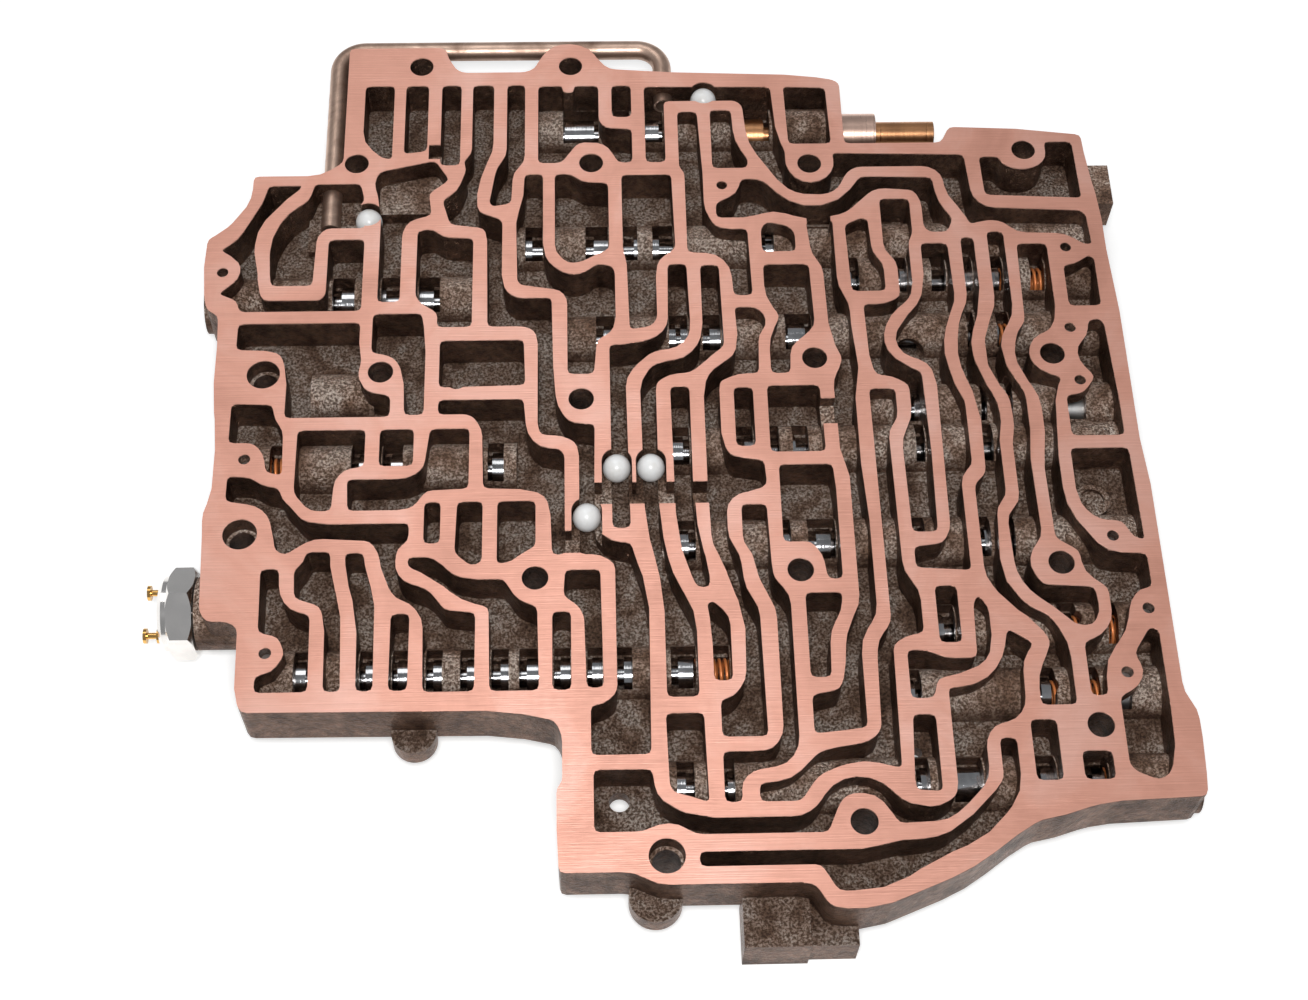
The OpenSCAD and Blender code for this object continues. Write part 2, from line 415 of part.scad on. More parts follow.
THROTTLE = 0;
BOOST = 1;
SHIFT_A = 2;
LIMIT = 3;
SHIFT_B = 4;
SHIFT_C = 5;
REGULATOR = 6;
MODULATOR = 7;
DETENT = 8;
RELAY = 9;
COAST = 10;
SIGNAL = 11;
ACCUMULATOR = 12;

// Retaining pins: row of the plug it holds, y of the pin
PINS = [
    [BOOST, 55.1], [LIMIT, 61], [SHIFT_B, 32.5], [SHIFT_C, 14.5], [REGULATOR, -8.2], [DETENT, -36],
    [RELAY, -67.6], [SIGNAL, -58.2], [ACCUMULATOR, -76.9]
];

// Bolt holes and large stepped holes
BOLTS = [
    [-77, 132], [-31, 131.8], [-95.5, 94.5], [-25, 94], [40.9, 93], [106.4, 97.4], [-85.6, 20],
    [-28.7, 10.2], [38.2, 23.1], [106.7, 23.6], [-41.6, -46.4], [30.2, -45.1], [101.3, -44],
    [42.2, -117.3], [106, -91.8]
];
DOWELS = [[-118.7, 19.6], [-121.8, -31.8], [-8.2, -125.5]];

// Check balls: place, half width of the slot below, end of the groove in front
BALLS = [
    [-19, -10.3, 2.2, -18], [-9.5, -10.3, 2, -18], [-27.5, -25.9, 2.1, -33], [-91.4, 75.6, 0, 74],
    [9.9, 120.8, 2.8, 120]
];

// Low passages across the walls between channels: limits in x and y, depth
PASSES = [
    [-27, 7, -24, -17, 7], [-34.5, -28.5, -39, -32, 6], [38.5, 43.8, 1, 9.5, 4.5],
    [38.8, 46, 70, 74.5, 8], [-74, -69.5, 96, 101.5, 6]
];

// Round holes in channel floors: x, y, radius
FLOOR_HOLES = [
    [-64, 16.8, 2.9], [103.9, -57.6, 2.4], [95, -77.6, 2.6], [-19.9, -106.4, 2.7], [58.9, -94, 1.5],
    [14.1, 85.1, 1.6]
];

// Blocks cast on at the outer edge: limits in x, y and z
EDGE_BLOCKS = [
    [11, 28, -146, -131, -casting_h, -11.5], [27, 40.5, -145, -131, -casting_h, -14.5],
    [122, 132.8, 80.5, 95, -16, -5]
];

// Round bosses under the outer edge: x, y, radius, lowest and highest z
EDGE_BOSSES = [[-11, -132, 7, -18, -11.5], [-74, -85.5, 6, -19, -12.5]];

// Raised floors of pockets: limits in x and y, depth
RAISED_FLOORS = [[-89, -69, 81, 96, 7.5], [-110, -93, 69, 88, 9.5]];

// Blind barrels that show as humps in pockets: limits in x, y
HUMPS = [[-106, -88, 18.8]];

// Ring boss on a pocket's floor, and a bowl sunk in another floor
RING_BOSS = [114.5, -19.7];
BOWL = [66.8, 30];

// Side to which a row opens: 1 right, -1 left
function side(r) = sign(r[2] - r[1]);
// Face of a row's plug that looks into the bore
function plug_face(r) = r[3] - side(r) * plug_l / 2;
// End of a row's valve at its closed end
function valve_start(r) = r[1] + side(r) * seat_gap;
// End of a row's valve that its spring presses
function valve_end(r) = plug_face(r) - side(r) * (spring_l + 2 * seat_gap);
// Place of a retaining pin
function pin_at(p) = [ROWS[p[0]][3], p[1]];
// Height of the ledges that carry a ball over a slot of half width w
function ledge_z(w) = ball_z - sqrt(ball_r * ball_r - w * w) - ball_seat;

// A round bar along X, its ends in any order
module bar(x0, x1, y, z, r) {
    translate([min(x0, x1), y, z])
        rotate([0, 90, 0])
            cylinder(r = r, h = abs(x1 - x0));
}

// A block given by its limits
module block(x0, x1, y0, y1, z0, z1) {
    translate([x0, y0, z0])
        cube([x1 - x0, y1 - y0, z1 - z0]);
}

// An upright round bar
module post(p, z0, z1, r) {
    translate([p[0], p[1], z0])
        cylinder(r = r, h = z1 - z0);
}

// The casting before its bores and holes are cut
module casting_blank() {
    translate([0, 0, -channel_depth])
        linear_extrude(channel_depth)
            difference() {
                polygon(soft(EDGE));
                for (p = concat(BLOCK, LEFT, LONG, RIGHT))
                    polygon(soft(p));
            }
    translate([0, 0, skin_z])
        linear_extrude(floor_t)
            polygon(soft(EDGE));
    for (r = ROWS)
        bar(r[1] - side(r) * barrel_end, r[2], r[0], axis_z, barrel_r);
    for (p = concat(BOLTS, DOWELS))
        post(p, -casting_h, -channel_depth - cut, foot_r);
    for (b = EDGE_BLOCKS)
        block(b[0], b[1], b[2], b[3], b[4], b[5]);
    for (b = EDGE_BOSSES)
        post(b, b[3], b[4], b[2]);
    for (h = HUMPS)
        bar(h[0], h[1], h[2], axis_z, barrel_r);
    for (b = RAISED_FLOORS)
        block(b[0], b[1], b[2], b[3], skin_z, -b[4]);
    post(RING_BOSS, skin_z, ring_top_z, ring_r);
    bar(switch_x, neck_end_x, switch_y, switch_z, switch_boss_r);
}

// The casting with worm-track channels, valve bores and holes
module casting() {
    color([0.74, 0.66, 0.6])
        translate([-datum_x, 0, 0])
            difference() {
                casting_blank();
                for (r = ROWS)
                    bar(r[1], r[2] + side(r) * cut, r[0], axis_z, bore_r);
                for (r = ROWS, p = r[4])
                    block(
                        p[0], p[1], r[0] - bore_r - port_room, r[0] + bore_r + port_room,
                        axis_z, axis_z + barrel_r + cut
                    );
                for (p = PINS)
                    post(pin_at(p), pin_end_z, cut, pin_r + pin_gap);
                for (p = BOLTS)
                    post(p, -casting_h - cut, cut, bolt_r);
                for (p = DOWELS) {
                    post(p, -dowel_depth, cut, dowel_r);
                    post(p, -casting_h - cut, -dowel_depth + cut, dowel_r - dowel_step);
                }
                for (p = FLOOR_HOLES)
                    post(p, -casting_h - cut, cut, p[2]);
                for (p = PASSES)
                    block(p[0], p[1], p[2], p[3], -p[4], cut);
                for (b = BALLS) {
                    post(b, ledge_z(b[2]), cut, ball_r + ball_gap);
                    translate([b[0], b[1], ball_z])
                        sphere(r = ball_r + ball_seat);
                    block(
                        b[0] - ball_r - ball_gap, b[0] + ball_r + ball_gap, b[3], b[1],
                        ledge_z(b[2]), cut
                    );
                }
                tube_path(tube_r + tube_gap);
                bar(switch_x - cut, neck_end_x + neck_room, switch_y, switch_z, switch_neck_r + neck_gap);
                translate([BOWL[0], BOWL[1], bowl_r - channel_depth - bowl_depth])
                    sphere(r = bowl_r);
                post(RING_BOSS, ring_top_z - ring_dish, ring_top_z + cut, ring_r - ring_rim);
            }
}

// Check balls in their pockets
module check_balls() {
    color([0.93, 0.93, 0.92])
        translate([-datum_x, 0, 0])
            for (b = BALLS)
                translate([b[0], b[1], ball_z])
                    sphere(r = ball_r);
}

// Pins that hold the bore plugs
module retaining_pins() {
    color([0.5, 0.5, 0.52])
        translate([-datum_x, 0, 0])
            for (p = PINS)
                post(pin_at(p), pin_end_z + seat_gap, -pin_sink, pin_r);
}

// The course of the oil tube: up the left side, along the top, down into the channel
module tube_path(r) {
    translate([tube_x0, tube_y0, -tube_depth])
        rotate([-90, 0, 0])
            cylinder(r = r, h = tube_y1 - tube_bend - tube_y0);
    translate([tube_x0 + tube_bend, tube_y1 - tube_bend, -tube_depth])
        rotate([0, 0, 90])
            rotate_extrude(angle = 90)
                translate([tube_bend, 0])
                    circle(r = r);
    bar(tube_x0 + tube_bend, tube_x1 - tube_bend, tube_y1, -tube_depth, r);
    translate([tube_x1 - tube_bend, tube_y1 - tube_bend, -tube_depth])
        rotate_extrude(angle = 90)
            translate([tube_bend, 0])
                circle(r = r);
    translate([tube_x1, tube_y2, -tube_depth])
        rotate([-90, 0, 0])
            cylinder(r = r, h = tube_y1 - tube_bend - tube_y2);
}

// Steel oil tube
module oil_tube() {
    color([0.6, 0.6, 0.6])
        translate([-datum_x, 0, 0])
            difference() {
                tube_path(tube_r);
                tube_path(tube_r - tube_wall);
            }
}

// Pressure switch: hexagon with its neck
module switch_body() {
    color([0.85, 0.85, 0.85])
        translate([-datum_x, 0, 0])
            union() {
                intersection() {
                    translate([switch_hex_x - switch_l, switch_y, switch_z])
                        rotate([0, 90, 0])
                            cylinder(r = switch_af / sqrt(3), h = switch_l, $fn = 6);
                    translate([switch_hex_x - switch_l, switch_y, switch_z])
                        rotate([0, 90, 0])
                            hex_chamfer();
                }
                bar(switch_hex_x - cut, neck_end_x, switch_y, switch_z, switch_neck_r);
            }
}

// Turned envelope that chamfers the hexagon's corners at both ends
module hex_chamfer() {
    top = switch_af / sqrt(3);
    low = switch_af / 2 + hex_land;
    rotate_extrude()
        polygon([
            [0, 0], [low, 0], [top, hex_bevel], [top, switch_l - hex_bevel], [low, switch_l], [0, switch_l]
        ]);
}

// Domed end of the switch with its two terminal studs
module switch_cap() {
    color([0.83, 0.8, 0.76])
        translate([switch_cap_x - datum_x, switch_y, switch_z])
            rotate([0, -90, 0])
                union() {
                    rotate_extrude()
                        polygon([
                            [0, 0], [switch_cap_r, 0], [switch_cap_r, cap_rim],
                            [switch_cap_r - cap_rim, cap_l], [0, cap_l]
                        ]);
                    for (s = [-1, 1])
                        translate([0, s * stud_pitch / 2, cap_l - cut])
                            terminal_stud();
                }
}

// Terminal stud with a collar and a head
module terminal_stud() {
    cylinder(r = stud_r, h = stud_l + cut);
    cylinder(r = stud_head_r, h = stud_head_l + cut);
    translate([0, 0, stud_l + cut - stud_head_l])
        cylinder(r = stud_head_r, h = stud_head_l);
}

// A turned valve from x0 to x1: a stem with lands
module spool(y, x0, x1, lands) {
    lo = min(x0, x1);
    hi = max(x0, x1);
    color([0.78, 0.78, 0.8])
        translate([-datum_x, 0, 0])
            union() {
                bar(lo, hi, y, axis_z, stem_r);
                for (l = lands)
                    bar(max(l[0], lo), min(l[1], hi), y, axis_z, land_r);
            }
}

// A coil spring along X between x0 and x1
module coil(y, x0, x1, turns) {
    around = 12;
    sides = 6;
    steps = turns * around;
    lo = min(x0, x1) + wire_r;
    run = abs(x1 - x0) - 2 * wire_r;
    pts = [
        for (i = [0:steps], k = [0:sides - 1])
            let (
                a = 360 * i / around,
                b = 360 * k / sides,
                r = spring_r + wire_r * cos(b)
            )
            [lo + run * i / steps + wire_r * sin(b), y + r * cos(a), axis_z + r * sin(a)]
    ];
    walls = [
        for (i = [0:steps - 1], k = [0:sides - 1])
            let (m = (k + 1) % sides)
            each [
                [i * sides + k, i * sides + m, (i + 1) * sides + m],
                [i * sides + k, (i + 1) * sides + m, (i + 1) * sides + k]
            ]
    ];
    ends = [
        [for (k = [0:sides - 1]) sides - 1 - k],
        [for (k = [0:sides - 1]) steps * sides + k]
    ];
    color([0.72, 0.45, 0.3])
        translate([-datum_x, 0, 0])
            polyhedron(points = pts, faces = concat(walls, ends), convexity = 8);
}

// The valve of a row
module row_valve(row) {
    r = ROWS[row];
    spool(r[0], valve_start(r), valve_end(r), r[5]);
}

// The spring between a row's valve and its plug
module row_spring(row) {
    r = ROWS[row];
    coil(r[0], valve_end(r) + side(r) * seat_gap, plug_face(r) - side(r) * seat_gap, spring_turns);
}

// The plug of a row, with the hole of its pin
module row_plug(row) {
    r = ROWS[row];
    color([0.66, 0.66, 0.66])
        translate([-datum_x, 0, 0])
            difference() {
                bar(r[3] - plug_l / 2, r[3] + plug_l / 2, r[0], axis_z, plug_r);
                for (p = PINS)
                    if (p[0] == row)
                        post(pin_at(p), axis_z - bore_r - cut, axis_z + bore_r + cut, pin_r + pin_gap);
            }
}

// Throttle row: valve, spring, plunger and the sleeve that guides the plunger's rod
module throttle_valve() {
    r = ROWS[THROTTLE];
    spool(r[0], valve_start(r), throttle_end, r[5]);
}
module throttle_spring() {
    x0 = throttle_end + seat_gap;
    coil(ROWS[THROTTLE][0], x0, x0 + throttle_spring_l, spring_turns);
}
module throttle_plunger() {
    y = ROWS[THROTTLE][0];
    color([0.7, 0.6, 0.5])
        translate([-datum_x, 0, 0])
            union() {
                bar(plunger_x, sleeve_x - seat_gap, y, axis_z, stem_r);
                bar(plunger_x, plunger_x + plunger_land, y, axis_z, land_r);
                bar(sleeve_x - plunger_land - seat_gap, sleeve_x - seat_gap, y, axis_z, land_r);
                bar(sleeve_x - seat_gap - cut, rod_end, y, axis_z, rod_r);
            }
}
module plunger_sleeve() {
    y = ROWS[THROTTLE][0];
    flange_x = ROWS[THROTTLE][3];
    color([0.75, 0.65, 0.62])
        translate([-datum_x, 0, 0])
            difference() {
                union() {
                    bar(sleeve_x, flange_x + flange_l, y, axis_z, plug_r);
                    bar(flange_x, flange_x + flange_l, y, axis_z, plug_r + flange_step);
                }
                bar(sleeve_x - cut, flange_x + flange_l + cut, y, axis_z, rod_r + land_gap);
            }
}

// Relay row: its spring lies at the closed end
module relay_valve() {
    r = ROWS[RELAY];
    spool(r[0], plug_face(r) - side(r) * seat_gap, r[1] + side(r) * (relay_spring_l + 2 * seat_gap), r[5]);
}
module relay_spring() {
    r = ROWS[RELAY];
    coil(r[0], r[1] + side(r) * seat_gap, r[1] + side(r) * (relay_spring_l + seat_gap), spring_turns);
}
module relay_plug() {
    row_plug(RELAY);
}

// Valve, spring and plug of each of the other rows
module boost_valve() {
    row_valve(BOOST);
}
module boost_spring() {
    row_spring(BOOST);
}
module boost_plug() {
    row_plug(BOOST);
}
module shift_valve_a() {
    row_valve(SHIFT_A);
}
module shift_spring_a() {
    row_spring(SHIFT_A);
}
module shift_plug_a() {
    row_plug(SHIFT_A);
}
module limit_valve() {
    row_valve(LIMIT);
}
module limit_spring() {
    row_spring(LIMIT);
}
module limit_plug() {
    row_plug(LIMIT);
}
module shift_valve_b() {
    row_valve(SHIFT_B);
}
module shift_spring_b() {
    row_spring(SHIFT_B);
}
module shift_plug_b() {
    row_plug(SHIFT_B);
}
module shift_valve_c() {
    row_valve(SHIFT_C);
}
module shift_spring_c() {
    row_spring(SHIFT_C);
}
module shift_plug_c() {
    row_plug(SHIFT_C);
}
module regulator_valve() {
    row_valve(REGULATOR);
}
module regulator_spring() {
    row_spring(REGULATOR);
}
module regulator_plug() {
    row_plug(REGULATOR);
}
module modulator_valve() {
    row_valve(MODULATOR);
}
module modulator_spring() {
    row_spring(MODULATOR);
}
module modulator_plug() {
    row_plug(MODULATOR);
}
module detent_valve() {
    row_valve(DETENT);
}
module detent_spring() {
    row_spring(DETENT);
}
module detent_plug() {
    row_plug(DETENT);
}
module coast_valve() {
    row_valve(COAST);
}
module coast_spring() {
    row_spring(COAST);
}
module coast_plug() {
    row_plug(COAST);
}
module signal_valve() {
    row_valve(SIGNAL);
}
module signal_spring() {
    row_spring(SIGNAL);
}
module signal_plug() {
    row_plug(SIGNAL);
}
module accumulator_valve() {
    row_valve(ACCUMULATOR);
}
module accumulator_spring() {
    row_spring(ACCUMULATOR);
}
module accumulator_plug() {
    row_plug(ACCUMULATOR);
}

casting();
check_balls();
retaining_pins();
oil_tube();
switch_body();
switch_cap();
throttle_valve();
throttle_spring();
throttle_plunger();
plunger_sleeve();
boost_valve();
boost_spring();
boost_plug();
shift_valve_a();
shift_spring_a();
shift_plug_a();
limit_valve();
limit_spring();
limit_plug();
shift_valve_b();
shift_spring_b();
shift_plug_b();
shift_valve_c();
shift_spring_c();
shift_plug_c();
regulator_valve();
regulator_spring();
regulator_plug();
modulator_valve();
modulator_spring();
modulator_plug();
detent_valve();
detent_spring();
detent_plug();
relay_valve();
relay_spring();
relay_plug();
coast_valve();
coast_spring();
coast_plug();
signal_valve();
signal_spring();
signal_plug();
accumulator_valve();
accumulator_spring();
accumulator_plug();
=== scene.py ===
"""Looks of a transmission valve body: stained casting, ground valves, springs and fittings."""
import json
import math

import bmesh
import bpy
from mathutils import Matrix, Vector


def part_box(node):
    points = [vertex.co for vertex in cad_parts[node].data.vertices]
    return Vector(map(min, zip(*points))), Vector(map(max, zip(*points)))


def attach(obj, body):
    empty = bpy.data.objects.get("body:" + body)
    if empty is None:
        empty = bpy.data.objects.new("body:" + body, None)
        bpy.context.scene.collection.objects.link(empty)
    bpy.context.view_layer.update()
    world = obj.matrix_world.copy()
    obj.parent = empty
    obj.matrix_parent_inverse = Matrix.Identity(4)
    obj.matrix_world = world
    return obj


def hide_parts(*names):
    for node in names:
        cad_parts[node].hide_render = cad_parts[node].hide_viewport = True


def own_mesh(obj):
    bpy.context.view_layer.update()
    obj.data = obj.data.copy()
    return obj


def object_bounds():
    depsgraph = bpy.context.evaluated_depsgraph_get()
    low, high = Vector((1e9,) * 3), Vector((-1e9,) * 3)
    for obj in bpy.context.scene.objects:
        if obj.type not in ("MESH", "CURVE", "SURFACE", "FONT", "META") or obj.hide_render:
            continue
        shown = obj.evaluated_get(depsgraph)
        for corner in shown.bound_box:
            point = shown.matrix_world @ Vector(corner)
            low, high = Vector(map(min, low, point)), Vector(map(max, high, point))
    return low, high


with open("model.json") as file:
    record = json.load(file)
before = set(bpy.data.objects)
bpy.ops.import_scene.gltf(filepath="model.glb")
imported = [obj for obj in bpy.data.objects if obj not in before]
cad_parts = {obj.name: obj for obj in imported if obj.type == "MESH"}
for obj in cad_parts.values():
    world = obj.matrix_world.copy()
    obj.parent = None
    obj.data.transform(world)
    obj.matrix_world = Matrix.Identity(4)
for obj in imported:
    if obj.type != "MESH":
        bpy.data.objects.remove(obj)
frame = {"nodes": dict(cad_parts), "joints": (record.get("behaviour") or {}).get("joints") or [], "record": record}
cad_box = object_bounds()

MM = 0.001
BODY = "valve_body"

# Colours
FACE_DARK = (0.62, 0.29, 0.21)
FACE_MIDDLE = (0.76, 0.37, 0.275)
FACE_LIGHT = (0.85, 0.49, 0.4)
SKIN_DARK = (0.16, 0.085, 0.054)
SKIN_MIDDLE = (0.64, 0.39, 0.265)
SKIN_LIGHT = (1.0, 0.78, 0.63)
# Painted glint: a near-white colour for bright flecks on the cast floors
PAINTED_GLINT = (1.0, 0.88, 0.78)
# Painted shade: the dark colours given to the cast walls
WALL_PAINTED_SHADE_DARK = (0.07, 0.038, 0.026)
WALL_PAINTED_SHADE_LIGHT = (0.3, 0.18, 0.125)
PLATING = (0.86, 0.83, 0.8)
STUD_BRASS = (0.85, 0.5, 0.16)
TUBE_DARK = (0.3, 0.19, 0.14)
TUBE_LIGHT = (0.66, 0.47, 0.37)
BALL_SOILED = (0.76, 0.74, 0.7)
BALL_CLEAN = (0.88, 0.88, 0.87)
SPRING_COPPER = (0.95, 0.31, 0.1)
PLUNGER_BRASS = (0.66, 0.33, 0.16)
SLEEVE_PALE = (0.84, 0.58, 0.47)
PLUG_STEEL = (0.5, 0.49, 0.48)
VALVE_STEEL = (0.5, 0.5, 0.51)
FLOOR_PALE = (0.9, 0.9, 0.89)
SKY_PALE = (0.9, 0.92, 0.95)
WHITE = (1.0, 1.0, 1.0)

# Heights on the casting, whose gasket face is at 0: edge of the face, and floors up to humps, between which the
# painted shade on the skin fades
FACE_EDGE_LOW = -0.5 * MM
FACE_EDGE_HIGH = -0.1 * MM
FLOOR_DEEP = -12.0 * MM
HUMP_HIGH = -5.0 * MM

# Upward part of the surface normal: a wall below the first, a floor above the second; walls take the painted shade
# colours and floors the painted glints
WALL_UPWARD = 0.2
FLOOR_UPWARD = 0.75

# Noise scales, per metre: stains, dirt with the patches of painted glint, sand grain with the flecks of painted
# glint, and pits of the casting
BLOTCH_SCALE = 26.0
GRIME_AND_GLINT_SCALE = 95.0
GRAIN_SCALE = 1400.0
PIT_SCALE = 520.0
LINE_STRETCH = (40.0, 2400.0, 1.0)

# The same for the smaller pieces
RING_STRETCH = (2600.0, 30.0, 30.0)
STAIN_SCALE = 120.0
TUBE_SCALE = 90.0
BALL_SCALE = 260.0
PLATE_SCALE = 150.0

# Terminal studs of the switch: length from the end of the cap, and the soft edge of the brass
STUD_L = 4.3 * MM
STUD_EDGE = 0.1 * MM

# Spring wire
WIRE_R = 0.45 * MM
WIRE_SIDES = 10
SPRING_TURNS = 6
COIL_PITCH = 1.7 * MM
STEPS_PER_TURN = 28

# Camera of the photograph: place in the part's frame, turn, dip, roll and focal length
IMAGE_W = 1308.0
CAMERA_AT = Vector((-28.5, -308.7, 510.2)) * MM
TURN = math.radians(3.113)
DIP = math.radians(60.711)
ROLL = math.radians(1.918)
FOCAL_PX = 2126.66
SENSOR_W = 36.0
CLIP_START = 10.0 * MM

# Floor and light
FLOOR_HALF = 3.0
FLOOR_GAP = 0.2 * MM
FLOOR_LIFT = 0.4
SKY_LIGHT = 0.33
SKY_SEEN = 0.82
KEY_AT = (-0.03, -0.32, 0.62)
KEY_SIZE = 0.16
KEY_POWER = 3.0
TOP_AT = (-0.25, 0.5, 1.0)
TOP_SIZE = 0.5
TOP_POWER = 2.0


def new_material(name, colour, metallic, roughness):
    """A Principled material and its node tree, shader and Object coordinates."""
    mat = bpy.data.materials.new(name)
    mat.use_nodes = True
    tree = mat.node_tree
    shader = tree.nodes["Principled BSDF"]
    shader.inputs["Base Color"].default_value = (*colour, 1.0)
    shader.inputs["Metallic"].default_value = metallic
    shader.inputs["Roughness"].default_value = roughness
    coords = tree.nodes.new("ShaderNodeTexCoord").outputs["Object"]
    return mat, tree, shader, coords


def noise(tree, vector, scale, detail=4.0, rough=0.55, distortion=0.0):
    """Noise factor over a vector."""
    node = tree.nodes.new("ShaderNodeTexNoise")
    node.inputs["Scale"].default_value = scale
    node.inputs["Detail"].default_value = detail
    node.inputs["Roughness"].default_value = rough
    node.inputs["Distortion"].default_value = distortion
    tree.links.new(vector, node.inputs["Vector"])
    return node.outputs["Fac"]


def axis_value(tree, vector, axis):
    """One part of a vector."""
    node = tree.nodes.new("ShaderNodeSeparateXYZ")
    tree.links.new(vector, node.inputs["Vector"])
    return node.outputs[axis]


def stretched(tree, vector, scale):
    """Coordinates stretched along an axis, for grinding lines."""
    node = tree.nodes.new("ShaderNodeMapping")
    node.inputs["Scale"].default_value = scale
    tree.links.new(vector, node.inputs["Vector"])
    return node.outputs["Vector"]


def ramp(tree, factor, stops):
    """Colour ramp over a factor; stops are (place, colour)."""
    node = tree.nodes.new("ShaderNodeValToRGB")
    steps = node.color_ramp.elements
    for i, (place, colour) in enumerate(stops):
        step = steps[i] if i < 2 else steps.new(place)
        step.position = place
        step.color = (*colour, 1.0)
    tree.links.new(factor, node.inputs["Fac"])
    return node.outputs["Color"]


def spread(tree, factor, low, high, out_low=0.0, out_high=1.0):
    """Maps a factor from one range to another, clamped."""
    node = tree.nodes.new("ShaderNodeMapRange")
    node.inputs["From Min"].default_value = low
    node.inputs["From Max"].default_value = high
    node.inputs["To Min"].default_value = out_low
    node.inputs["To Max"].default_value = out_high
    tree.links.new(factor, node.inputs["Value"])
    return node.outputs["Result"]


def blend(tree, factor, a, b):
    """Colour a where the factor is 0, colour b where it is 1; b may be a plain colour."""
    node = tree.nodes.new("ShaderNodeMix")
    node.data_type = "RGBA"
    tree.links.new(factor, node.inputs["Factor"])
    tree.links.new(a, node.inputs["A"])
    if isinstance(b, tuple):
        node.inputs["B"].default_value = (*b, 1.0)
    else:
        tree.links.new(b, node.inputs["B"])
    return node.outputs["Result"]


def choose(tree, factor, a, b):
    """Value a where the factor is 0, value b where it is 1."""
    node = tree.nodes.new("ShaderNodeMix")
    tree.links.new(factor, node.inputs["Factor"])
    tree.links.new(a, node.inputs["A"])
    tree.links.new(b, node.inputs["B"])
    return node.outputs["Result"]


def math_node(tree, operation, a, b):
    """One arithmetic step on two factors or a factor and a number."""
    node = tree.nodes.new("ShaderNodeMath")
    node.operation = operation
    for socket, value in zip(node.inputs, (a, b)):
        if isinstance(value, (int, float)):
            socket.default_value = value
        else:
            tree.links.new(value, socket)
    return node.outputs["Value"]


def darker(tree, colour, share):
    """A colour at a share of its brightness."""
    node = tree.nodes.new("ShaderNodeHueSaturation")
    node.inputs["Value"].default_value = share
    tree.links.new(colour, node.inputs["Color"])
    return node.outputs["Color"]


def shade(colour, share):
    """A plain colour at a share of its brightness."""
    return tuple(c * share for c in colour)


def bump(tree, shader, height, strength, distance):
    """Bump on a shader from a height."""
    node = tree.nodes.new("ShaderNodeBump")
    node.inputs["Strength"].default_value = strength
    node.inputs["Distance"].default_value = distance
    tree.links.new(height, node.inputs["Height"])
    tree.links.new(node.outputs["Normal"], shader.inputs["Normal"])


